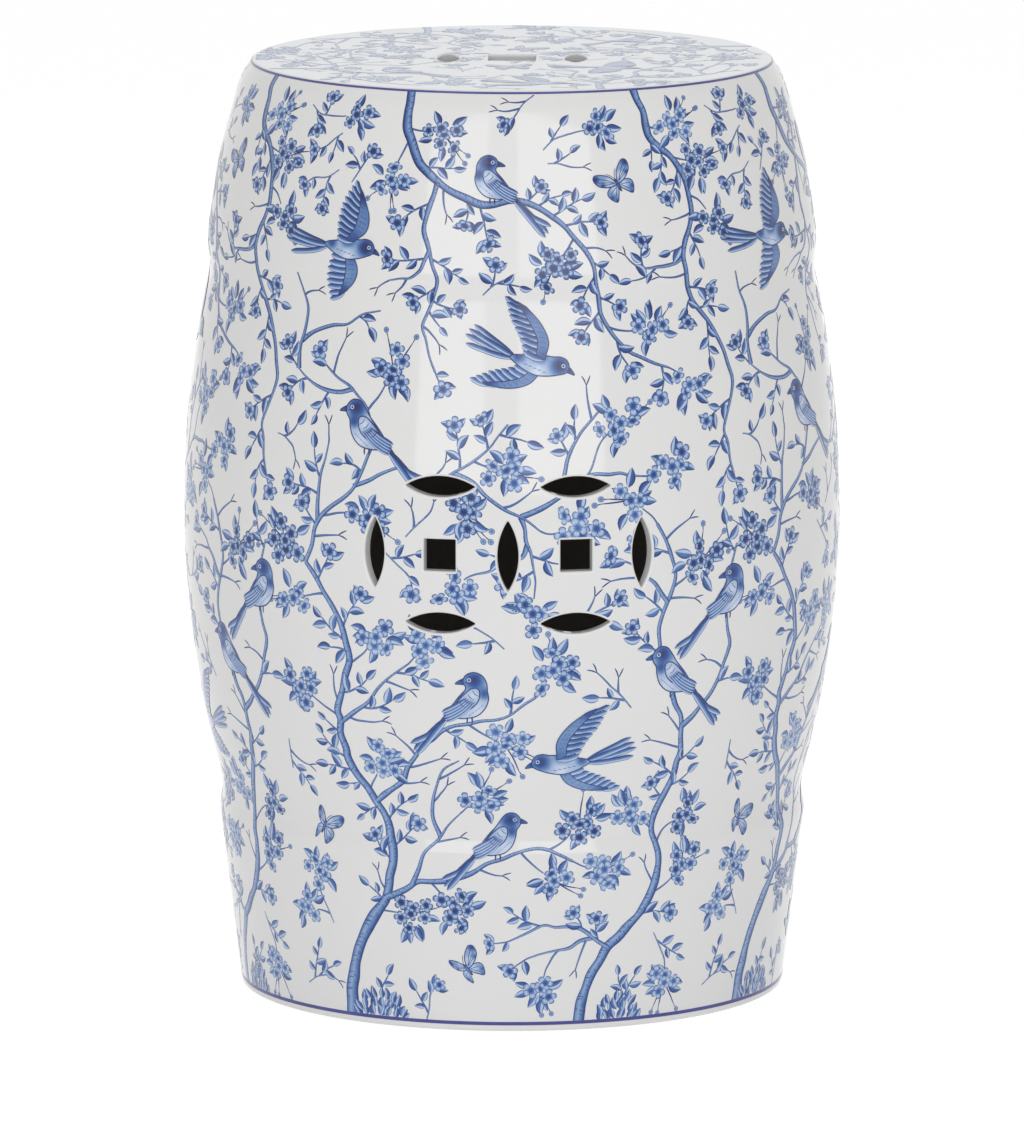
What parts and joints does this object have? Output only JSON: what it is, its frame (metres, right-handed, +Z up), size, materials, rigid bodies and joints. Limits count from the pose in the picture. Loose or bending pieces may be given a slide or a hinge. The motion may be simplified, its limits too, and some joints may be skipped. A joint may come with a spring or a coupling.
{
  "type": "ceramic garden stool",
  "caption": "Hollow glazed barrel stool, open below, with a flat finger-holed seat and coin-shaped piercings front and back.",
  "frame": {"origin": "on the floor under the centre of the stool", "axes": "+Z up through the seat; -Y is the front, which carries one of the two pierced coin pairs"},
  "size_m": [0.3301, 0.33, 0.4699],
  "materials": {
    "white_glaze": "gloss",
    "blue_print": "gloss",
    "indigo_line": "gloss",
    "bare_clay": "matte"
  },
  "bodies": {
    "root": {"foot_section": "white_glaze", "belly_section": "white_glaze", "shoulder_section": "white_glaze", "seat_slab": "white_glaze", "foot_luting_coil": "bare_clay", "shoulder_luting_coil": "bare_clay", "seat_luting_coil": "bare_clay"}
  },
  "joints": []
}
